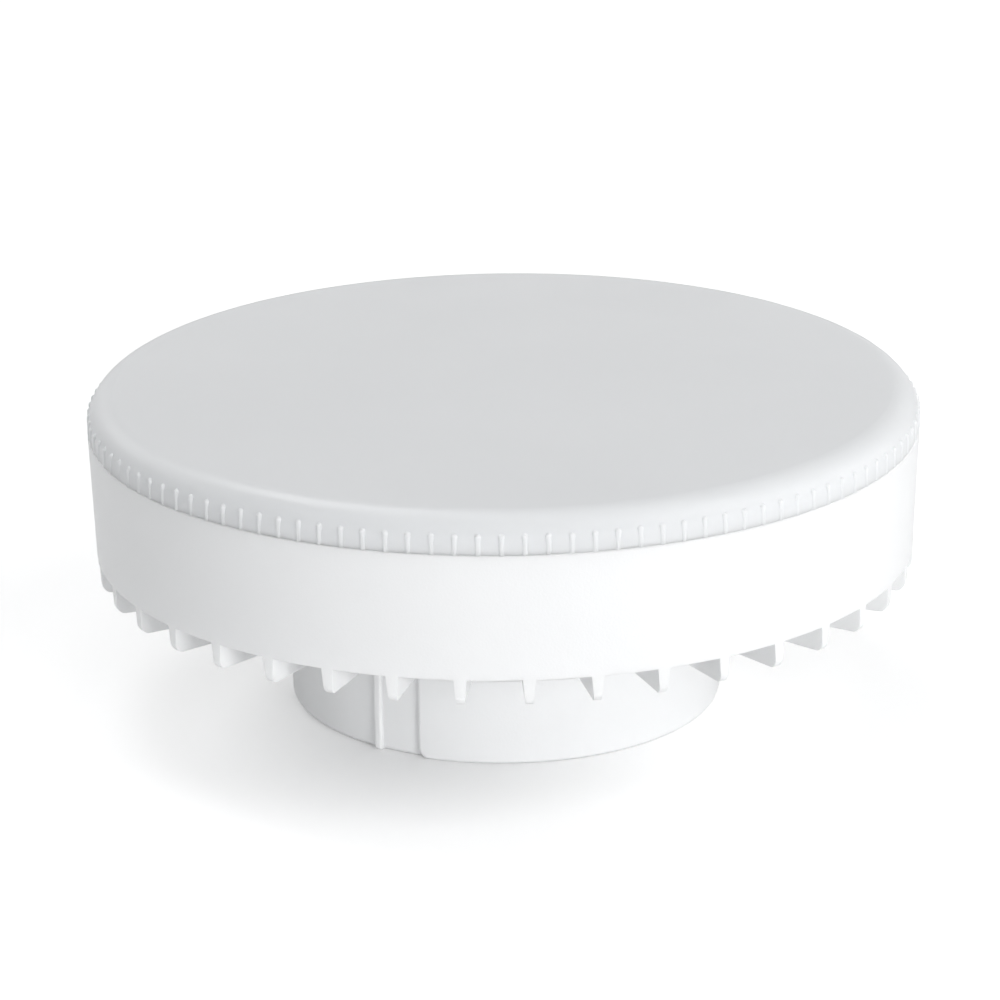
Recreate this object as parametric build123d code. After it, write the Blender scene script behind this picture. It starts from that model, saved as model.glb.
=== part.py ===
from build123d import *
from math import cos, radians, sin, sqrt, tan
import os

# LED disc lamp with a two-pin twist-lock cap, standing on its neck, cover up.
# Sizes are in millimetres and angles in degrees. The origin is the centre of the neck's end face,
# +Z points up through the cover, and the two contact pins lie on the X axis.

# Can: a drafted wall that is widest at the seam with the cover
lamp_dia = 75.0
can_depth = 13.65
cover_rise = 4.6
wall_draft = 2.2
wall_thickness = 1.5
rim_edge_radius = 0.15

# Neck and the flat reference face that meets the lamp holder
neck_dia = 39.3
neck_wall = 1.6
neck_length = 12.0
neck_edge_radius = 0.5
reference_margin = 4.5
floor_thickness = 1.6

# Cooling fins under the can's rim
fin_count = 40
fin_phase = -0.35
fin_height = 2.45
fin_root = 1.1
fin_tip = 0.65
fin_corner_radius = 1.0
fin_edge_radius = 0.2

# Two lock cams round the neck, and a narrow upright rib ahead of each
cam_start = 243.5
cam_full_angle = 43.0
cam_ramp_angle = 55.0
cam_rise = 0.48
cam_ramp_middle_rise = 0.26
cam_corner_radius = 1.0
cam_edge_radius = 0.35
cam_rib_lead = 11.8
cam_rib_width = 0.7
cam_rib_rise = 0.42
cam_rib_edge_radius = 0.15
cam_rib_foot_radius = 0.35

# Contact pins, with their heads below the reference face
pin_count = 2
pin_spacing = 53.0
pin_head_dia = 5.0
pin_head_height = 1.9
pin_head_edge_radius = 0.6
pin_neck_dia = 3.2
pin_reach = 4.8
pin_body_dia = 4.0
pin_body_gap = 0.05
pin_flange_dia = 5.6
pin_flange_height = 0.6
pin_stem_dia = 2.6
pin_stem_height = 1.4
pin_boss_dia = 8.0
pin_boss_height = 1.0

# Cover
crown_height = 1.4
shoulder_radius = 2.5
cover_thickness = 1.5
grip_rib_count = 120
grip_rib_phase = -0.77
grip_rib_radius = 0.3
grip_rib_rise = 0.1
grip_rib_length = 1.85
spigot_depth = 2.4
spigot_thickness = 1.2
spigot_gap = 0.12
snap_bead_radius = 0.3
snap_groove_gap = 0.12

# Heat spreader: a drawn dish, open side down, on the can's floor
spreader_thickness = 1.2
spreader_drop = 3.25
spreader_bend_radius = 1.6
spreader_gap = 0.2
spreader_hole_dia = 7.0

# LED board and its packages
led_board_thickness = 1.0
led_board_margin = 0.6
led_board_hole_dia = 6.0
led_length = 3.5
led_width = 2.8
led_height = 0.8
led_window_depth = 0.15
led_window_margin = 0.35
led_bevel = 0.5
led_outer_count = 12
led_inner_count = 6
led_outer_inset = 5.5
led_inner_dia = 26.0

# Board screws and the bosses that they cut into
screw_count = 3
screw_phase = 90
screw_dia = 2.4
screw_tip_dia = 1.2
screw_point_length = 1.2
screw_length = 6.5
screw_head_dia = 4.4
screw_head_height = 1.6
screw_head_edge_radius = 0.8
screw_slot_width = 0.6
screw_slot_depth = 0.7
screw_pilot_gap = 0.05
screw_clearance = 0.25
screw_boss_dia = 6.0
boss_web_thickness = 1.0
pilot_depth_spare = 1.0

# Driver board on ledges inside the neck
driver_board_thickness = 1.2
driver_board_gap = 0.4
driver_part_margin = 1.2
driver_floor_gap = 0.6
ledge_count = 4
ledge_phase = 45
ledge_depth = 1.6
ledge_thickness = 1.2
key_count = 2
key_phase = 90
key_depth = 1.0
key_width = 1.6
key_height = 3.0
key_gap = 0.25
lead_dia = 0.6
lead_gap = 0.15
lead_stub = 1.0

# Electronic parts
capacitor_headroom = 3.2
input_capacitor_dia = 8.0
input_capacitor_angle = 65
output_capacitor_dia = 6.3
output_capacitor_angle = 125
capacitor_crimp_height = 2.0
capacitor_crimp_radius = 0.35
capacitor_edge_radius = 0.5
capacitor_foot_radius = 0.25
capacitor_lead_pitch = 3.5
choke_dia = 9.0
choke_angle = 230
choke_height = 9.0
choke_flange = 1.3
choke_core_dia = 4.0
choke_winding_gap = 0.1
choke_winding_inset = 0.5
choke_lead_pitch = 5.0
film_capacitor_angle = 300
film_capacitor_length = 10.0
film_capacitor_width = 4.5
film_capacitor_height = 9.0
film_capacitor_edge_radius = 0.6
film_capacitor_lead_pitch = 7.5
fuse_dia = 2.5
fuse_waist_dia = 2.1
fuse_length = 6.0
fuse_cap_length = 1.2
fuse_edge_radius = 0.3
fuse_lead_pitch = 8.4
fuse_lift = 0.6
fuse_inset = 7.4
rectifier_size = (4.7, 3.9, 2.3)
rectifier_place = (0, 6.0)
driver_chip_size = (4.9, 3.9, 1.5)
driver_chip_place = (0, -5.0)
flyback_diode_size = (4.3, 2.6, 2.1)
flyback_diode_place = (-7.5, 0)
sense_resistor_size = (3.2, 1.6, 0.6)
sense_resistor_place = (6.0, 0)
sense_resistor_pitch = 4.0
chip_foot_thickness = 0.2
chip_foot_width = 0.45
chip_foot_length = 0.6

# Wires
mains_wire_dia = 1.3
mains_wire_bend = 2.4
mains_wire_gap = 0.1
mains_wire_lift = 0.1
output_wire_dia = 1.0
output_wire_bend = 1.2
output_wire_spacing = 3.4
output_wire_rise = 1.7
output_pad_reach = 3.6

# Radii, heights and angles that follow from the sizes above
neck_radius = neck_dia / 2
reference_height = neck_length
seam_height = reference_height + can_depth
lamp_height = seam_height + cover_rise
neck_bore_radius = neck_radius - neck_wall
pin_circle_radius = pin_spacing / 2
reference_radius = pin_circle_radius + reference_margin
reference_floor = reference_height + floor_thickness
can_foot = reference_height + fin_height
can_floor = can_foot + floor_thickness
spreader_top = seam_height - spreader_drop
spreader_underside = spreader_top - spreader_thickness
led_board_top = spreader_top + led_board_thickness
screw_circle_radius = (neck_bore_radius + reference_radius - floor_thickness) / 2
pilot_radius = screw_dia / 2 + screw_pilot_gap
screw_hole_radius = screw_dia / 2 + screw_clearance
pin_body_top = reference_floor + pin_boss_height
pin_stem_top = pin_body_top + pin_flange_height + pin_stem_height
driver_board_radius = neck_bore_radius - driver_board_gap
driver_ledge_height = neck_wall + rectifier_size[2] + driver_floor_gap
driver_board_top = driver_ledge_height + driver_board_thickness
part_circle_radius = driver_board_radius - driver_part_margin
cover_radius = lamp_dia / 2 - grip_rib_rise
cam_rib_angle = cam_start - cam_rib_lead


def wall_radius(height):
    """Outside radius of the drafted can wall at a height."""
    return lamp_dia / 2 - (seam_height - height) * tan(radians(wall_draft))


def wall_bore(height):
    """Inside radius of the can wall at a height."""
    return wall_radius(height) - wall_thickness


spreader_radius = wall_bore(can_floor) - spreader_gap
led_board_radius = spreader_radius - spreader_bend_radius - led_board_margin
led_outer_radius = led_board_radius - led_outer_inset
spigot_foot = seam_height - spigot_depth
spigot_radius = wall_bore(spigot_foot) - spigot_gap
snap_height = seam_height - spigot_depth / 2


def spread(count, first=0.0):
    """Directions that divide the full turn evenly, in degrees, from a first one."""
    return [first + 360 * index / count for index in range(count)]


screw_angles = spread(screw_count, screw_phase)
pin_angles = spread(pin_count)
key_angles = spread(key_count, key_phase)


def polar(radius, angle, height=0.0):
    """Point at a radius and angle round the lamp's axis."""
    return Vector(radius * cos(radians(angle)), radius * sin(radians(angle)), height)


def turned(*corners):
    """Solid turned about the lamp's axis from (radius, height, corner radius) triples."""
    outline = FilletPolyline(
        [(radius, height) for radius, height, _ in corners],
        radius=[corner for _, _, corner in corners],
        close=True,
    )
    return revolve(Plane.XZ * make_face(outline), Axis.Z)


def disc(radius, bottom, top):
    """Round disc on the lamp's axis."""
    return Pos(0, 0, bottom) * extrude(Circle(radius), top - bottom)


def rod(radius, bottom, top, centre):
    """Upright round rod over a centre point."""
    return Pos(centre.X, centre.Y, bottom) * extrude(Circle(radius), top - bottom)


def tube(path, diameter):
    """Round wire along a path of straight runs and tangent arcs."""
    return sweep(Plane(path @ 0, z_dir=path % 0) * Circle(diameter / 2), path)


def write_part(name, shape):
    """Write one sub-part to its own file."""
    export_step(shape, os.path.join("parts", name + ".step"))


# Housing


def housing_blank():
    """Wall, floors and neck in one turned section, whose start and end meet between two fins."""
    fin_ring_radius = wall_radius(reference_height)
    blank = turned(
        (0, 0, 0),
        (neck_radius, 0, neck_edge_radius),
        (neck_radius, reference_height, 0),
        (fin_ring_radius, reference_height, fin_corner_radius),
        (lamp_dia / 2, seam_height, rim_edge_radius),
        (wall_bore(seam_height), seam_height, 0),
        (wall_bore(can_floor), can_floor, 0),
        (reference_radius - floor_thickness, can_floor, 0),
        (reference_radius - floor_thickness, reference_floor, 0),
        (neck_bore_radius, reference_floor, 0),
        (neck_bore_radius, neck_wall, 0),
        (0, neck_wall, 0),
    )
    return Rot(0, 0, fin_phase + 180 / fin_count) * blank


def fin_gaps():
    """The spaces between the fins: a ring under the can, less a tapered bar for each fin."""
    half_root = fin_root / 2
    half_tip = fin_tip / 2
    section = FilletPolyline(
        [
            (half_root, can_foot),
            (-half_root, can_foot),
            (-half_tip, reference_height),
            (half_tip, reference_height),
        ],
        radius=[0, 0, fin_edge_radius, fin_edge_radius],
        close=True,
    )
    ring_radius = lamp_dia / 2 + fin_root
    bar_start = reference_radius - fin_root
    bar = extrude(Plane.YZ.offset(bar_start) * make_face(section), ring_radius + fin_root - bar_start)
    ring = disc(ring_radius, reference_height, can_foot) - disc(reference_radius, reference_height, can_foot)
    return ring - [Rot(0, 0, angle) * bar for angle in spread(fin_count, fin_phase)]


def lock_cam():
    """Raised pad on the neck that rises with a step and runs out along a ramp."""
    crest = neck_radius + cam_rise
    root = neck_radius - neck_wall / 2
    full_end = cam_start + cam_full_angle
    ramp_end = full_end + cam_ramp_angle
    middle = cam_start + cam_full_angle / 2
    ramp_middle = full_end + cam_ramp_angle / 2
    crest_arc = ThreePointArc(
        polar(crest, cam_start), polar(crest, middle), polar(crest, full_end)
    )
    ramp_arc = ThreePointArc(
        polar(crest, full_end),
        polar(neck_radius + cam_ramp_middle_rise, ramp_middle),
        polar(neck_radius, ramp_end),
    )
    run_out = Line(polar(neck_radius, ramp_end), polar(root, ramp_end))
    root_arc = ThreePointArc(
        polar(root, ramp_end), polar(root, (cam_start + ramp_end) / 2), polar(root, cam_start)
    )
    step = Line(polar(root, cam_start), polar(crest, cam_start))
    pad = extrude(make_face(Curve() + [crest_arc, ramp_arc, run_out, root_arc, step]), reference_height)
    corner_point = polar((root + crest) / 2, cam_start)
    corner = pad.edges().sort_by_distance(corner_point)[0]
    pad = fillet(corner, cam_corner_radius)
    rim_point = polar(crest, middle)
    rim = pad.edges().sort_by_distance(rim_point)[0]
    return fillet(rim, cam_edge_radius)


def cam_rib():
    """Narrow upright rib on the neck ahead of a cam, rounded back to the neck at its foot."""
    root = neck_radius - neck_wall / 2
    depth = neck_radius + cam_rib_rise - root
    bar = Box(depth, cam_rib_width, reference_height, align=(Align.MIN, Align.CENTER, Align.MIN))
    foot = bar.faces().sort_by(Axis.X)[-1].edges().sort_by(Axis.Z)[0]
    bar = fillet(foot, cam_rib_foot_radius)
    nose = bar.edges().filter_by(Axis.Z).group_by(Axis.X)[-1]
    bar = fillet(nose, cam_rib_edge_radius)
    return Rot(0, 0, cam_rib_angle) * Pos(root, 0, 0) * bar


def pin_bosses():
    """Raised seats round the pin bores, inside the can."""
    return [
        rod(pin_boss_dia / 2, reference_floor, pin_body_top, polar(pin_circle_radius, angle))
        for angle in pin_angles
    ]


def screw_boss(angle):
    """Boss under the spreader, with a web out to the step of the floor."""
    boss = rod(
        screw_boss_dia / 2, reference_floor, spreader_underside, polar(screw_circle_radius, angle)
    )
    web_length = reference_radius - floor_thickness / 2 - screw_circle_radius
    web = Box(
        web_length,
        boss_web_thickness,
        can_floor - reference_floor,
        align=(Align.MIN, Align.CENTER, Align.MIN),
    )
    return boss + Rot(0, 0, angle) * Pos(screw_circle_radius, 0, reference_floor) * web


def pilot_hole(angle):
    """Blind hole that a board screw cuts its thread in."""
    depth = screw_length - led_board_thickness - spreader_thickness + pilot_depth_spare
    centre = polar(screw_circle_radius, angle)
    return rod(pilot_radius, spreader_underside - depth, spreader_underside, centre)


def board_ledge(angle):
    """Upright ledge in the neck that the driver board sits on."""
    ledge = Box(
        ledge_depth + neck_wall / 2,
        ledge_thickness,
        driver_ledge_height - neck_wall / 2,
        align=(Align.MAX, Align.CENTER, Align.MIN),
    )
    return Rot(0, 0, angle) * Pos(neck_bore_radius + neck_wall / 2, 0, neck_wall / 2) * ledge


def board_key(angle):
    """Taller rib in the neck that stops the driver board from turning."""
    key = Box(
        key_depth + neck_wall / 2,
        key_width,
        driver_board_top + key_height - neck_wall / 2,
        align=(Align.MAX, Align.CENTER, Align.MIN),
    )
    return Rot(0, 0, angle) * Pos(neck_bore_radius + neck_wall / 2, 0, neck_wall / 2) * key


def snap_groove():
    """Groove inside the rim for the cover's snap bead."""
    radius = snap_bead_radius + snap_groove_gap
    section = Pos(spigot_radius, snap_height) * Circle(radius)
    return revolve(Plane.XZ * section, Axis.Z)


def housing():
    """One moulding: can wall, fins, reference face, neck with its cams, and the inner bosses."""
    body = housing_blank() - fin_gaps()
    cams = [Rot(0, 0, turn) * piece for turn in pin_angles for piece in (lock_cam(), cam_rib())]
    ledges = [board_ledge(angle) for angle in spread(ledge_count, ledge_phase)]
    keys = [board_key(angle) for angle in key_angles]
    bosses = [screw_boss(angle) for angle in screw_angles]
    body = body + cams + ledges + keys + pin_bosses() + bosses
    pin_bores = [
        rod(
            pin_body_dia / 2 + pin_body_gap,
            reference_height - floor_thickness,
            pin_body_top,
            polar(pin_circle_radius, angle),
        )
        for angle in pin_angles
    ]
    return body - pin_bores - [pilot_hole(angle) for angle in screw_angles] - snap_groove()


# Cover


def dome_height(radius, apex, sphere_radius):
    """Height of a spherical dome at a radius from its apex."""
    return apex - sphere_radius + sqrt(sphere_radius**2 - radius**2)


def domed_disc(radius, bottom, apex, edge_radius):
    """Disc with a spherical top and a rounded shoulder."""
    sphere_radius = (cover_radius**2 + crown_height**2) / (2 * crown_height)
    rim = (radius, dome_height(radius, apex, sphere_radius))
    middle = (radius / 2, dome_height(radius / 2, apex, sphere_radius))
    outline = Curve() + [
        ThreePointArc((0, apex), middle, rim),
        Polyline(rim, (radius, bottom), (0, bottom), (0, apex)),
    ]
    profile = make_face(outline)
    shoulder = profile.vertices().sort_by_distance(Vector(*rim))[0]
    return revolve(Plane.XZ * fillet(shoulder, edge_radius), Axis.Z)


def grip_rib():
    """Low upright bead on the cover's skirt, with a round end that runs out on the shoulder."""
    axis_radius = lamp_dia / 2 - grip_rib_radius
    end = seam_height + grip_rib_length - grip_rib_radius
    stem = rod(grip_rib_radius, seam_height, end, Vector(axis_radius, 0))
    return stem + Pos(axis_radius, 0, end) * Rot(90, 0, 0) * Sphere(grip_rib_radius)


def snap_bead():
    """Half-round bead round the cover's spigot."""
    section = Pos(spigot_radius, snap_height) * Circle(snap_bead_radius)
    return revolve(Plane.XZ * section, Axis.Z)


def diffuser():
    """Opal cover: domed top, rounded shoulder, skirt with grip ribs, and a spigot that snaps in."""
    inner_radius = spigot_radius - spigot_thickness
    shell = domed_disc(cover_radius, seam_height, lamp_height, shoulder_radius)
    shell += disc(spigot_radius, spigot_foot, seam_height) + snap_bead()
    inner_edge_radius = shoulder_radius - cover_thickness
    shell -= domed_disc(inner_radius, spigot_foot, lamp_height - cover_thickness, inner_edge_radius)
    rib = grip_rib()
    return shell + [Rot(0, 0, angle) * rib for angle in spread(grip_rib_count, grip_rib_phase)]


# Light engine


def screw_holes(bottom, top):
    """Clearance holes for the board screws between two heights."""
    return [
        rod(screw_hole_radius, bottom, top, polar(screw_circle_radius, angle))
        for angle in screw_angles
    ]


def heat_spreader():
    """Drawn aluminium dish, open side down, that carries the LED board and lines the wall."""
    inner = spreader_radius - spreader_thickness
    dish = turned(
        (spreader_hole_dia / 2, spreader_underside, 0),
        (inner, spreader_underside, spreader_bend_radius - spreader_thickness),
        (inner, can_floor, 0),
        (spreader_radius, can_floor, 0),
        (spreader_radius, spreader_top, spreader_bend_radius),
        (spreader_hole_dia / 2, spreader_top, 0),
    )
    return dish - screw_holes(spreader_underside, spreader_top)


def led_board():
    """Aluminium-core board that the LED packages are soldered on."""
    board = disc(led_board_radius, spreader_top, led_board_top)
    board -= disc(led_board_hole_dia / 2, spreader_top, led_board_top)
    return board - screw_holes(spreader_top, led_board_top)


def led_package():
    """Surface-mounted LED with a shallow window and one bevelled corner."""
    outline = Rectangle(led_length, led_width)
    corner = outline.vertices().sort_by_distance(Vector(led_length, led_width))[0]
    body = extrude(chamfer(corner, led_bevel), led_height)
    window = Rectangle(led_length - 2 * led_window_margin, led_width - 2 * led_window_margin)
    return body - Pos(0, 0, led_height - led_window_depth) * extrude(window, led_window_depth)


def led_places():
    """Radius and angle of each LED package, outer ring first."""
    outer = [(led_outer_radius, angle) for angle in spread(led_outer_count, 180 / led_outer_count)]
    inner = [(led_inner_dia / 2, angle) for angle in spread(led_inner_count, 180 / led_inner_count)]
    return outer + inner


def board_screw(angle):
    """Pan-head screw with a straight slot."""
    shank_foot = led_board_top - screw_length
    head_top = led_board_top + screw_head_height
    screw = turned(
        (0, shank_foot, 0),
        (screw_tip_dia / 2, shank_foot, 0),
        (screw_dia / 2, shank_foot + screw_point_length, 0),
        (screw_dia / 2, led_board_top, 0),
        (screw_head_dia / 2, led_board_top, 0),
        (screw_head_dia / 2, head_top, screw_head_edge_radius),
        (0, head_top, 0),
    )
    slot = Pos(0, 0, head_top) * Box(screw_head_dia, screw_slot_width, 2 * screw_slot_depth)
    return Pos(*polar(screw_circle_radius, angle)) * Rot(0, 0, angle) * (screw - slot)


# Contact pins


def contact_pin():
    """Turned pin: mushroom head, neck, pressed body, flange, and a hollow stem for its wire."""
    tip = reference_height - pin_reach
    head_top = tip + pin_head_height
    flange_top = pin_body_top + pin_flange_height
    wire_bore = mains_wire_dia / 2 + mains_wire_gap
    return turned(
        (0, tip, 0),
        (pin_head_dia / 2, tip, pin_head_edge_radius),
        (pin_head_dia / 2, head_top, 0),
        (pin_neck_dia / 2, head_top, 0),
        (pin_neck_dia / 2, reference_height, 0),
        (pin_body_dia / 2, reference_height, 0),
        (pin_body_dia / 2, pin_body_top, 0),
        (pin_flange_dia / 2, pin_body_top, 0),
        (pin_flange_dia / 2, flange_top, 0),
        (pin_stem_dia / 2, flange_top, 0),
        (pin_stem_dia / 2, pin_stem_top, 0),
        (wire_bore, pin_stem_top, 0),
        (wire_bore, pin_stem_top - pin_stem_height, 0),
        (0, pin_stem_top - pin_stem_height, 0),
    )


# Driver


def along_edge(half_length, half_width):
    """Radius at which a box part, lying along the edge, keeps its margin from the board's edge."""
    return sqrt(part_circle_radius**2 - half_length**2) - half_width


input_capacitor_place = polar(part_circle_radius - input_capacitor_dia / 2, input_capacitor_angle)
output_capacitor_place = polar(part_circle_radius - output_capacitor_dia / 2, output_capacitor_angle)
choke_place = polar(part_circle_radius - choke_dia / 2, choke_angle)
film_capacitor_place = polar(
    along_edge(film_capacitor_length / 2, film_capacitor_width / 2), film_capacitor_angle
)
fuse_place = polar(part_circle_radius - fuse_inset, 0)


def seat(place, angle):
    """Location on top of the driver board, turned about the upright axis."""
    return Pos(place.X, place.Y, driver_board_top) * Rot(0, 0, angle)


input_capacitor_seat = seat(input_capacitor_place, input_capacitor_angle)
output_capacitor_seat = seat(output_capacitor_place, output_capacitor_angle)
choke_seat = seat(choke_place, choke_angle - 90)
film_capacitor_seat = seat(film_capacitor_place, film_capacitor_angle + 90)
fuse_seat = seat(fuse_place, 90)


def lead_pair(pitch):
    """Two leads of a part whose seat is at height zero, through the board and a little beyond."""
    length = driver_board_thickness + lead_stub
    return [Pos(side * pitch / 2, 0, -length) * extrude(Circle(lead_dia / 2), length) for side in (-1, 1)]


def lead_holes(pitch):
    """Holes in the board for a pair of leads, in the part's own frame."""
    bore = Circle(lead_dia / 2 + lead_gap)
    depth = driver_board_thickness
    return [Pos(side * pitch / 2, 0, -depth) * extrude(bore, depth) for side in (-1, 1)]


def driver_board():
    """Round board in the neck, notched for the keys and drilled for the leads."""
    board = disc(driver_board_radius, driver_ledge_height, driver_board_top)
    notch = Box(
        2 * (key_depth + key_gap),
        key_width + 2 * key_gap,
        driver_board_thickness,
        align=(Align.CENTER, Align.CENTER, Align.MIN),
    )
    for angle in key_angles:
        board -= Rot(0, 0, angle) * Pos(neck_bore_radius, 0, driver_ledge_height) * notch
    for place, pitch in (
        (input_capacitor_seat, capacitor_lead_pitch),
        (output_capacitor_seat, capacitor_lead_pitch),
        (choke_seat, choke_lead_pitch),
        (film_capacitor_seat, film_capacitor_lead_pitch),
        (fuse_seat, fuse_lead_pitch),
    ):
        board -= [place * hole for hole in lead_holes(pitch)]
    return board


def capacitor(diameter):
    """Electrolytic can with its crimp groove, standing on its two leads."""
    radius = diameter / 2
    height = spreader_underside - capacitor_headroom - driver_board_top
    can = turned(
        (0, 0, 0),
        (radius, 0, capacitor_foot_radius),
        (radius, height, capacitor_edge_radius),
        (0, height, 0),
    )
    crimp_section = Pos(radius, capacitor_crimp_height) * Circle(capacitor_crimp_radius)
    can -= revolve(Plane.XZ * crimp_section, Axis.Z)
    return can + lead_pair(capacitor_lead_pitch)


def choke_core():
    """Ferrite drum: two flanges on a core."""
    radius = choke_dia / 2
    waist = choke_core_dia / 2
    drum = turned(
        (0, 0, 0),
        (radius, 0, 0),
        (radius, choke_flange, 0),
        (waist, choke_flange, 0),
        (waist, choke_height - choke_flange, 0),
        (radius, choke_height - choke_flange, 0),
        (radius, choke_height, 0),
        (0, choke_height, 0),
    )
    return drum + lead_pair(choke_lead_pitch)


def choke_winding():
    """Wire coil between the flanges of the drum, taken as one ring."""
    outer = choke_dia / 2 - choke_winding_inset
    inner = choke_core_dia / 2 + choke_winding_gap
    bottom = choke_flange
    top = choke_height - choke_flange
    return turned((inner, bottom, 0), (outer, bottom, 0), (outer, top, 0), (inner, top, 0))


def film_capacitor():
    """Boxed film capacitor on two leads."""
    case = extrude(Rectangle(film_capacitor_length, film_capacitor_width), film_capacitor_height)
    case = fillet(case.edges().filter_by(Axis.Z), film_capacitor_edge_radius)
    return case + lead_pair(film_capacitor_lead_pitch)


def fuse_resistor():
    """Fusible resistor lying on the board, waisted between its end caps, leads bent down."""
    radius = fuse_dia / 2
    waist = fuse_waist_dia / 2
    half = fuse_length / 2
    body = turned(
        (0, -half, 0),
        (radius, -half, fuse_edge_radius),
        (radius, fuse_cap_length - half, 0),
        (waist, fuse_cap_length - half, 0),
        (waist, half - fuse_cap_length, 0),
        (radius, half - fuse_cap_length, 0),
        (radius, half, fuse_edge_radius),
        (0, half, 0),
    )
    axis_height = fuse_lift + radius
    lead_end = driver_board_thickness + lead_stub
    reach = fuse_lead_pitch / 2
    path = FilletPolyline(
        (-reach, 0, -lead_end),
        (-reach, 0, axis_height),
        (reach, 0, axis_height),
        (reach, 0, -lead_end),
        radius=lead_dia,
    )
    return Pos(0, 0, axis_height) * Rot(0, 90, 0) * body + tube(path, lead_dia)


def chip(size, feet):
    """Moulded package under the board, hung from flat feet along its two long sides."""
    length, width, height = size
    body = Pos(0, 0, -height) * extrude(Rectangle(length, width), height - chip_foot_thickness)
    pitch = length / feet
    foot = Box(
        chip_foot_width,
        width + 2 * chip_foot_length,
        chip_foot_thickness,
        align=(Align.CENTER, Align.CENTER, Align.MAX),
    )
    return body + [Pos((index - (feet - 1) / 2) * pitch, 0, 0) * foot for index in range(feet)]


def under_board(place, part):
    """Hang a part against the underside of the driver board."""
    return Pos(*place, driver_ledge_height) * part


def chip_resistor():
    """Chip resistor under the board."""
    length, width, height = sense_resistor_size
    return Pos(0, 0, -height) * extrude(Rectangle(length, width), height)


# Wires


def mains_wire(angle):
    """Insulated wire from a pin's hollow stem over the neck's edge and down to the board."""
    over = pin_stem_top + mains_wire_lift + mains_wire_bend
    landing = part_circle_radius - driver_part_margin
    path = FilletPolyline(
        (pin_circle_radius, 0, pin_stem_top - pin_stem_height),
        (pin_circle_radius, 0, over),
        (landing, 0, over),
        (landing, 0, driver_board_top),
        radius=mains_wire_bend,
    )
    return Rot(0, 0, angle) * tube(path, mains_wire_dia)


def output_wire(angle):
    """Insulated wire up through the spreader and the LED board, and over onto its pad."""
    start = output_wire_spacing / 2
    over = led_board_top + output_wire_rise
    path = FilletPolyline(
        (start, 0, driver_board_top),
        (start, 0, over),
        (start + output_pad_reach, 0, over),
        (start + output_pad_reach, 0, led_board_top),
        radius=output_wire_bend,
    )
    return Rot(0, 0, angle) * tube(path, output_wire_dia)


# Write every sub-part

os.makedirs("parts", exist_ok=True)
write_part("housing", housing())
write_part("diffuser", diffuser())
write_part("heat_spreader", heat_spreader())
write_part("led_board", led_board())
for number, (radius, angle) in enumerate(led_places(), start=1):
    package = Rot(0, 0, angle) * Pos(radius, 0, led_board_top) * led_package()
    write_part(f"led_{number:02d}", package)
for number, angle in enumerate(screw_angles, start=1):
    write_part(f"board_screw_{number}", board_screw(angle))
for number, angle in enumerate(pin_angles, start=1):
    write_part(f"contact_pin_{number}", Rot(0, 0, angle) * Pos(pin_circle_radius, 0, 0) * contact_pin())
    write_part(f"mains_wire_{number}", mains_wire(angle))
    write_part(f"output_wire_{number}", output_wire(angle))
write_part("driver_board", driver_board())
write_part("input_capacitor", input_capacitor_seat * capacitor(input_capacitor_dia))
write_part("output_capacitor", output_capacitor_seat * capacitor(output_capacitor_dia))
write_part("choke_core", choke_seat * choke_core())
write_part("choke_winding", choke_seat * choke_winding())
write_part("film_capacitor", film_capacitor_seat * film_capacitor())
write_part("fuse_resistor", fuse_seat * fuse_resistor())
write_part("rectifier", under_board(rectifier_place, chip(rectifier_size, 2)))
write_part("driver_chip", under_board(driver_chip_place, chip(driver_chip_size, 4)))
write_part("flyback_diode", under_board(flyback_diode_place, chip(flyback_diode_size, 1)))
for number, side in enumerate((-1, 1), start=1):
    resistor = Pos(0, side * sense_resistor_pitch / 2, 0) * chip_resistor()
    write_part(f"sense_resistor_{number}", under_board(sense_resistor_place, resistor))
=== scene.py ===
import bpy
from math import pi, radians
from mathutils import Matrix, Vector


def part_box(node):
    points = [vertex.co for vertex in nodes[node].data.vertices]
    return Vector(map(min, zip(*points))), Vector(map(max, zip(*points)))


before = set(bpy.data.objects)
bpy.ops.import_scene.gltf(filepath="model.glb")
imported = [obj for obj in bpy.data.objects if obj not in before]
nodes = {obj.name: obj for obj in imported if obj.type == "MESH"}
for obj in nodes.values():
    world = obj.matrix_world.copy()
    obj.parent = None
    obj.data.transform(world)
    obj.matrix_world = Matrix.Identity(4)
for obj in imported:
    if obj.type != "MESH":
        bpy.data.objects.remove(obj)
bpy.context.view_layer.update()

# Housing: one injection moulding in white polyester, with the can wall, the fins, the flat reference
# face and the neck with its lock cams. The tool is eroded to a fine satin, so the skin is even and
# softly glossy, with very slight flow marks, and light goes a little way into the thin fins.
gloss_patch_ratio = 3.1
housing_light_share = 0.5
housing_light_depth = 0.0012


def lay_nodes(name):
    """Empty node material, with its tree, its shader and the object's own coordinates."""
    material = bpy.data.materials.new(name)
    material.use_nodes = True
    tree = material.node_tree
    tree.nodes.clear()
    skin = tree.nodes.new("ShaderNodeBsdfPrincipled")
    output = tree.nodes.new("ShaderNodeOutputMaterial")
    tree.links.new(skin.outputs["BSDF"], output.inputs["Surface"])
    place = tree.nodes.new("ShaderNodeTexCoord").outputs["Object"]
    return material, tree, skin, place


def cloud(tree, place, scale, detail=3.0, rough=0.5):
    """Soft noise through the material, as a value from 0 to 1."""
    noise = tree.nodes.new("ShaderNodeTexNoise")
    noise.inputs["Scale"].default_value = scale
    noise.inputs["Detail"].default_value = detail
    noise.inputs["Roughness"].default_value = rough
    tree.links.new(place, noise.inputs["Vector"])
    return noise.outputs["Fac"]


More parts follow.
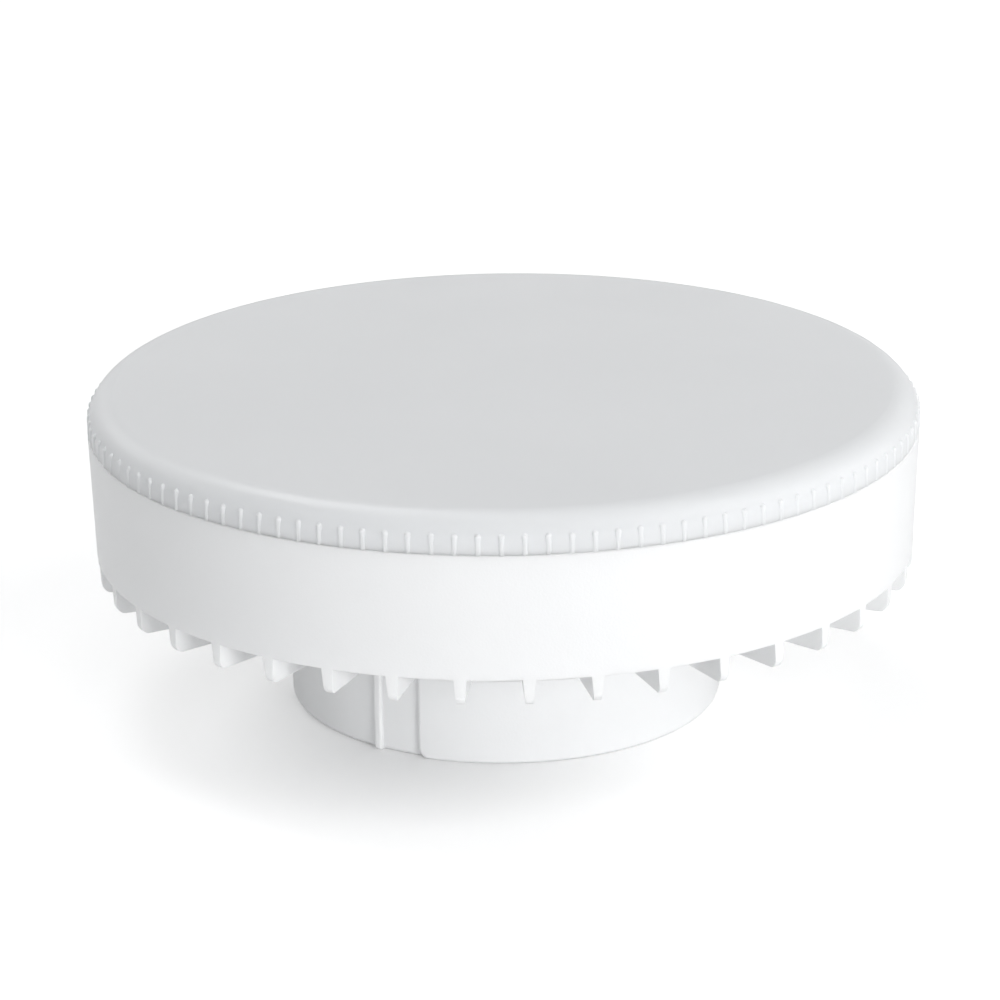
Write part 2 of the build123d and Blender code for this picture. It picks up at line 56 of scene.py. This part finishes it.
def between(tree, value, low, high, start=0.35, end=0.65):
    """A value from start to end, stretched to run from low to high."""
    stretch = tree.nodes.new("ShaderNodeMapRange")
    stretch.inputs["From Min"].default_value = start
    stretch.inputs["From Max"].default_value = end
    stretch.inputs["To Min"].default_value = low
    stretch.inputs["To Max"].default_value = high
    tree.links.new(value, stretch.inputs["Value"])
    return stretch.outputs["Result"]


def blend_colours(tree, value, first, second):
    """Colour that goes from the first to the second with a value."""
    mix = tree.nodes.new("ShaderNodeMix")
    mix.data_type = "RGBA"
    mix.inputs["A"].default_value = (*first, 1)
    mix.inputs["B"].default_value = (*second, 1)
    tree.links.new(value, mix.inputs["Factor"])
    return mix.outputs["Result"]


def emboss(tree, skin, height, depth):
    """Fine relief in the skin from a height value."""
    bump = tree.nodes.new("ShaderNodeBump")
    bump.inputs["Strength"].default_value = 1
    bump.inputs["Distance"].default_value = depth
    tree.links.new(height, bump.inputs["Height"])
    tree.links.new(bump.outputs["Normal"], skin.inputs["Normal"])


def moulded(name, pale, dark, gloss, dull, grain, depth, mottle):
    """Slight mottle in colour and gloss over a fine grain, each given in patches to the metre."""
    material, tree, skin, place = lay_nodes(name)
    patches = between(tree, cloud(tree, place, mottle), 0, 1)
    tree.links.new(blend_colours(tree, patches, pale, dark), skin.inputs["Base Color"])
    sheen = cloud(tree, place, mottle * gloss_patch_ratio)
    tree.links.new(between(tree, sheen, gloss, dull), skin.inputs["Roughness"])
    emboss(tree, skin, cloud(tree, place, grain, detail=2), depth)
    return material, tree, skin, place


def let_light_in(skin, share, depth):
    """Share of the light that goes a little way into the moulding and comes out again."""
    skin.inputs["Subsurface Weight"].default_value = share
    skin.inputs["Subsurface Radius"].default_value = (depth, depth, depth)
    skin.inputs["Subsurface Scale"].default_value = 1


def dress(names, material):
    """Give the finish to each named solid."""
    for name in names:
        nodes[name].material_slots[0].material = material


housing_white, tree, skin, place = moulded(
    "housing_white",
    pale=(0.865, 0.87, 0.875),
    dark=(0.85, 0.855, 0.86),
    gloss=0.34,
    dull=0.40,
    grain=5200,
    depth=0.000012,
    mottle=35,
)
let_light_in(skin, housing_light_share, housing_light_depth)
dress(["housing"], housing_white)

# Contact pins: turned brass with a bright nickel plate, pressed into the floor of the can. The lathe
# leaves fine rings round each pin.
pin_names = ["contact_pin_1", "contact_pin_2"]
turning_pitch = 0.000377
turning_depth = 0.000004
wave_turn = 20


def ripple(tree, place, direction, pitch, distortion=0):
    """Even lines across one direction at a pitch; the texture turns 20 radians in a unit of length."""
    waves = tree.nodes.new("ShaderNodeTexWave")
    waves.bands_direction = direction
    waves.inputs["Scale"].default_value = 2 * pi / (wave_turn * pitch)
    waves.inputs["Distortion"].default_value = distortion
    tree.links.new(place, waves.inputs["Vector"])
    return waves.outputs["Fac"]


pin_nickel, tree, skin, place = moulded(
    "pin_nickel",
    pale=(0.72, 0.69, 0.64),
    dark=(0.66, 0.63, 0.58),
    gloss=0.16,
    dull=0.26,
    grain=9000,
    depth=0.000002,
    mottle=240,
)
skin.inputs["Metallic"].default_value = 1
emboss(tree, skin, ripple(tree, place, "Z", turning_pitch, distortion=0.4), turning_depth)
dress(pin_names, pin_nickel)

# Driver board: green glass-fibre laminate, pressed in sheet and punched round, held in the neck by
# its ledges and keys. The weave shows faintly through the lacquer.
weave_pitch = 0.0003
weave_gap = 0.06
weave_depth = 0.00001

driver_board_green, tree, skin, place = moulded(
    "driver_board_green",
    pale=(0.035, 0.16, 0.075),
    dark=(0.022, 0.11, 0.05),
    gloss=0.26,
    dull=0.36,
    grain=5000,
    depth=0.000004,
    mottle=160,
)
weave = tree.nodes.new("ShaderNodeTexBrick")
weave.inputs["Scale"].default_value = weave.inputs["Brick Width"].default_value / weave_pitch
weave.inputs["Mortar Size"].default_value = weave_gap
tree.links.new(place, weave.inputs["Vector"])
emboss(tree, skin, weave.outputs["Fac"], weave_depth)
dress(["driver_board"], driver_board_green)

# Parts on the driver board: two capacitor cans in shrink sleeve, a boxed film capacitor, a lacquered
# fusible resistor, a ferrite drum, and small moulded packages under the board. All are soldered.
part_finishes = {
    "capacitor_sleeve": {
        "pale": (0.012, 0.016, 0.035), "dark": (0.02, 0.026, 0.05),
        "gloss": 0.22, "dull": 0.32, "grain": 3000, "depth": 0.000006, "mottle": 200,
    },
    "film_capacitor_case": {
        "pale": (0.60, 0.36, 0.06), "dark": (0.52, 0.30, 0.045),
        "gloss": 0.20, "dull": 0.30, "grain": 4000, "depth": 0.000005, "mottle": 180,
    },
    "fuse_body": {
        "pale": (0.20, 0.36, 0.27), "dark": (0.16, 0.30, 0.22),
        "gloss": 0.30, "dull": 0.42, "grain": 3500, "depth": 0.00001, "mottle": 400,
    },
    "ferrite": {
        "pale": (0.035, 0.035, 0.038), "dark": (0.055, 0.055, 0.06),
        "gloss": 0.55, "dull": 0.75, "grain": 2600, "depth": 0.00002, "mottle": 500,
    },
    "chip_black": {
        "pale": (0.012, 0.012, 0.013), "dark": (0.02, 0.02, 0.021),
        "gloss": 0.42, "dull": 0.56, "grain": 7000, "depth": 0.000008, "mottle": 500,
    },
    "chip_resistor": {
        "pale": (0.014, 0.014, 0.017), "dark": (0.03, 0.03, 0.034),
        "gloss": 0.18, "dull": 0.30, "grain": 6000, "depth": 0.000003, "mottle": 600,
    },
}
part_nodes = {
    "capacitor_sleeve": ["input_capacitor", "output_capacitor"],
    "film_capacitor_case": ["film_capacitor"],
    "fuse_body": ["fuse_resistor"],
    "ferrite": ["choke_core"],
    "chip_black": ["rectifier", "driver_chip", "flyback_diode"],
    "chip_resistor": ["sense_resistor_1", "sense_resistor_2"],
}
for finish, values in part_finishes.items():
    dress(part_nodes[finish], moulded(finish, **values)[0])

# Choke coil: enamelled copper wire, wound between the flanges of the ferrite drum. One ring stands for
# all the turns, and coarse lines in its skin hint at them.
wire_pitch = 0.00157
wire_relief = 0.0000625

copper_winding, tree, skin, place = moulded(
    "copper_winding",
    pale=(0.50, 0.17, 0.06),
    dark=(0.42, 0.13, 0.045),
    gloss=0.18,
    dull=0.28,
    grain=6000,
    depth=0.000002,
    mottle=300,
)
skin.inputs["Metallic"].default_value = 1
emboss(tree, skin, ripple(tree, place, "Z", wire_pitch), wire_relief)
dress(["choke_winding"], copper_winding)

# Wires: stranded copper in soft sleeves, white from the pins to the driver, red and black from the
# driver up to the LED board. Their ends are soldered.
sleeve_shade = 0.85
sleeve_colours = {
    "mains_wire_1": (0.72, 0.72, 0.70),
    "mains_wire_2": (0.72, 0.72, 0.70),
    "output_wire_1": (0.42, 0.02, 0.015),
    "output_wire_2": (0.018, 0.018, 0.018),
}
for name, colour in sleeve_colours.items():
    sleeve = moulded(
        name + "_sleeve",
        pale=colour,
        dark=tuple(channel * sleeve_shade for channel in colour),
        gloss=0.35,
        dull=0.48,
        grain=2500,
        depth=0.000012,
        mottle=150,
    )[0]
    dress([name], sleeve)

# Heat spreader: a shallow dish drawn from aluminium sheet, bare, with faint rolling lines from the
# mill. It lies on the bosses and touches the wall.
rolling_pitch = 0.001885
rolling_depth = 0.000004

spreader_aluminium, tree, skin, place = moulded(
    "spreader_aluminium",
    pale=(0.78, 0.79, 0.80),
    dark=(0.72, 0.73, 0.74),
    gloss=0.28,
    dull=0.42,
    grain=3000,
    depth=0.000003,
    mottle=60,
)
skin.inputs["Metallic"].default_value = 1
emboss(tree, skin, ripple(tree, place, "X", rolling_pitch, distortion=1.5), rolling_depth)
dress(["heat_spreader"], spreader_aluminium)

# Board screws: zinc-plated steel, cold headed and slotted. They hold the LED board and the spreader
# down on the housing's bosses.
screw_names = [f"board_screw_{number}" for number in (1, 2, 3)]

screw_steel, tree, skin, place = moulded(
    "screw_steel",
    pale=(0.62, 0.63, 0.65),
    dark=(0.54, 0.55, 0.57),
    gloss=0.24,
    dull=0.38,
    grain=4000,
    depth=0.000004,
    mottle=500,
)
skin.inputs["Metallic"].default_value = 1
dress(screw_names, screw_steel)

# LED board: aluminium core under a white solder mask, punched from sheet. It lies flat on the
# spreader.
led_board_white = moulded(
    "led_board_white",
    pale=(0.83, 0.83, 0.81),
    dark=(0.80, 0.80, 0.78),
    gloss=0.30,
    dull=0.40,
    grain=3000,
    depth=0.000006,
    mottle=120,
)[0]
dress(["led_board"], led_board_white)

# LED packages: white ceramic-filled frames, soldered to the board, with a yellow phosphor fill in the
# window. The fill is the skin that faces up below the frame's rim.
led_names = [f"led_{number:02d}" for number in range(1, 19)]
window_depth = 0.00015
facing_up = 0.9
phosphor_yellow = (0.86, 0.60, 0.05, 1)


def work_out(tree, operation, first, second):
    """Value from two others, each a node's output or a number."""
    step = tree.nodes.new("ShaderNodeMath")
    step.operation = operation
    for socket, value in zip(step.inputs, (first, second)):
        if isinstance(value, bpy.types.NodeSocket):
            tree.links.new(value, socket)
        else:
            socket.default_value = value
    return step.outputs["Value"]


def height_part(tree, vector):
    """The upright part of a vector."""
    parts = tree.nodes.new("ShaderNodeSeparateXYZ")
    tree.links.new(vector, parts.inputs["Vector"])
    return parts.outputs["Z"]


led_package, tree, skin, place = moulded(
    "led_package",
    pale=(0.84, 0.84, 0.81),
    dark=(0.80, 0.80, 0.77),
    gloss=0.32,
    dull=0.44,
    grain=6000,
    depth=0.000004,
    mottle=700,
)
middle_of_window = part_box("led_01")[1].z - window_depth / 2
below_rim = work_out(tree, "LESS_THAN", height_part(tree, place), middle_of_window)
normal = tree.nodes.new("ShaderNodeNewGeometry").outputs["Normal"]
upward = work_out(tree, "GREATER_THAN", height_part(tree, normal), facing_up)
phosphor = tree.nodes.new("ShaderNodeMix")
phosphor.data_type = "RGBA"
phosphor.inputs["B"].default_value = phosphor_yellow
tree.links.new(skin.inputs["Base Color"].links[0].from_socket, phosphor.inputs["A"])
tree.links.new(work_out(tree, "MULTIPLY", below_rim, upward), phosphor.inputs["Factor"])
tree.links.new(phosphor.outputs["Result"], skin.inputs["Base Color"])
dress(led_names, led_package)

# Cover: one injection moulding in opal polycarbonate with a fine satin skin, snapped and glued into the
# rim. Light goes a little way into it.
cover_light_share = 0.85
cover_light_depth = 0.0011

opal_cover, tree, skin, place = moulded(
    "opal_cover",
    pale=(0.75, 0.76, 0.77),
    dark=(0.735, 0.745, 0.755),
    gloss=0.34,
    dull=0.40,
    grain=4200,
    depth=0.000004,
    mottle=30,
)
let_light_in(skin, cover_light_share, cover_light_depth)
dress(["diffuser"], opal_cover)

# Floor: a white sheet that runs out of sight. What the camera sees of it also glows a little, which
# makes it paper white. The glow is weaker round a fixed place in front of the neck: a painted shadow
# that deepens the real shadow there and stays at that place in every view.
floor_reach = 6.0
painted_shadow_glow = 0.08
painted_shadow_place = (-0.005, -0.011, 0)
painted_shadow_start = 0.009
painted_shadow_end = 0.023
floor_glow = 0.37

floor_mesh = bpy.data.meshes.new("floor")
floor_mesh.from_pydata(
    [(x * floor_reach, y * floor_reach, 0) for x, y in ((-1, -1), (1, -1), (1, 1), (-1, 1))],
    [],
    [(0, 1, 2, 3)],
)
floor = bpy.data.objects.new("floor", floor_mesh)
bpy.context.scene.collection.objects.link(floor)
floor_white, tree, skin, place = moulded(
    "floor_white",
    pale=(0.92, 0.92, 0.92),
    dark=(0.91, 0.91, 0.91),
    gloss=0.85,
    dull=0.95,
    grain=300,
    depth=0.00001,
    mottle=4,
)
# Painted shadow: the camera-seen glow drops towards a fixed place in front of the neck.
away = tree.nodes.new("ShaderNodeVectorMath")
away.operation = "DISTANCE"
away.inputs[1].default_value = painted_shadow_place
tree.links.new(place, away.inputs[0])
glow_with_painted_shadow = between(tree, away.outputs["Value"], painted_shadow_glow, floor_glow, painted_shadow_start, painted_shadow_end)
path = tree.nodes.new("ShaderNodeLightPath")
seen = work_out(tree, "MULTIPLY", path.outputs["Is Camera Ray"], glow_with_painted_shadow)
skin.inputs["Emission Color"].default_value = (1, 1, 1, 1)
tree.links.new(seen, skin.inputs["Emission Strength"])
floor_mesh.materials.append(floor_white)

# Studio: a white surround that is brightest low down, soft lamps round the object at a metre, and a
# long card over the left whose straight edge shows in the cover's shoulder. What looks straight at the
# surround, or sees it mirrored or through glass, sees plain white.
surround_low = 0.70
surround_high = 0.0
surround_colour = (0.97, 0.985, 1, 1)
lamp_distance = 1.0

world = bpy.data.worlds.new("studio")
bpy.context.scene.world = world
world.use_nodes = True
tree = world.node_tree
tree.nodes.clear()
rise = height_part(tree, tree.nodes.new("ShaderNodeTexCoord").outputs["Generated"])
surround = tree.nodes.new("ShaderNodeBackground")
surround.inputs["Color"].default_value = surround_colour
brightness = between(tree, rise, surround_low, surround_high, 0, 1)
tree.links.new(brightness, surround.inputs["Strength"])
backdrop = tree.nodes.new("ShaderNodeBackground")
backdrop.inputs["Color"].default_value = (1, 1, 1, 1)
backdrop.inputs["Strength"].default_value = 1
path = tree.nodes.new("ShaderNodeLightPath")
seen = work_out(tree, "MAXIMUM", path.outputs["Is Camera Ray"], path.outputs["Is Glossy Ray"])
seen = work_out(tree, "MAXIMUM", seen, path.outputs["Is Transmission Ray"])
pick = tree.nodes.new("ShaderNodeMixShader")
tree.links.new(seen, pick.inputs["Fac"])
tree.links.new(surround.outputs["Background"], pick.inputs[1])
tree.links.new(backdrop.outputs["Background"], pick.inputs[2])
world_output = tree.nodes.new("ShaderNodeOutputWorld")
tree.links.new(pick.outputs["Shader"], world_output.inputs["Surface"])


def soft_lamp(name, width, height, power, place):
    """Rectangular soft lamp with its matrix in the room."""
    light = bpy.data.lights.new(name, "AREA")
    light.shape = "RECTANGLE"
    light.size = width
    light.size_y = height
    light.energy = power
    lamp = bpy.data.objects.new(name, light)
    bpy.context.scene.collection.objects.link(lamp)
    lamp.matrix_world = place
    return lamp


def round_the_object(bearing, elevation):
    """Place at the lamps' distance in a direction, facing the object."""
    turn = Matrix.Rotation(radians(bearing), 4, "Z") @ Matrix.Rotation(-radians(elevation), 4, "Y")
    return turn @ Matrix.Translation((lamp_distance, 0, 0)) @ Matrix.Rotation(pi / 2, 4, "Y")


# Each lamp's bearing and elevation in degrees, its width and height in metres, and its watts. The
# lamps in no_glare light the object, but don't show in a glossy skin.
lamps = {
    "low_front_lamp": (-63, 12, 0.4, 0.4, 4.9),
    "neck_lamp": (-92, 4, 0.4, 0.1, 0.6),
    "high_right_lamp": (-30, 45, 0.6, 0.6, 1.8),
    "right_lamp": (10, 20, 0.6, 0.6, 1.2),
    "high_back_lamp": (120, 60, 0.4, 0.4, 1.9),
    "top_lamp": (0, 90, 0.6, 0.6, 1.3),
    "low_left_lamp": (188, 12, 0.4, 0.4, 0.4),
}
no_glare = ("low_front_lamp", "neck_lamp")
for name, (bearing, elevation, width, height, power) in lamps.items():
    lamp = soft_lamp(name, width, height, power, round_the_object(bearing, elevation))
    lamp.visible_glossy = name not in no_glare

card_place = (-1.2, 2.0, 0.8)
card_turn = radians(10.4)
card_width = 1.0
card_length = 3.2
card_power = 10.0
card_matrix = Matrix.Translation(card_place) @ Matrix.Rotation(card_turn, 4, "Z")
soft_lamp("left_card", card_width, card_length, card_power, card_matrix)

bpy.context.scene.view_settings.view_transform = "Standard"

# Camera: a long lens a little above the object, tipped down and very slightly rolled. Its place and
# angles come from the outlines in the photograph.
camera_place = (-0.0223, -0.3866, 0.15035)
camera_turn = radians(3.24)
camera_tilt = 0.330
camera_roll = -0.012
camera_lens = 162
camera_sensor = 36

camera_data = bpy.data.cameras.new("camera")
camera_data.lens = camera_lens
camera_data.sensor_width = camera_sensor
camera_data.sensor_fit = "HORIZONTAL"
camera_data.clip_start = 0.01
camera = bpy.data.objects.new("camera", camera_data)
bpy.context.scene.collection.objects.link(camera)
camera.matrix_world = (
    Matrix.Translation(camera_place)
    @ Matrix.Rotation(-camera_turn, 4, "Z")
    @ Matrix.Rotation(pi / 2 - camera_tilt, 4, "X")
    @ Matrix.Rotation(camera_roll, 4, "Z")
)
bpy.context.scene.camera = camera
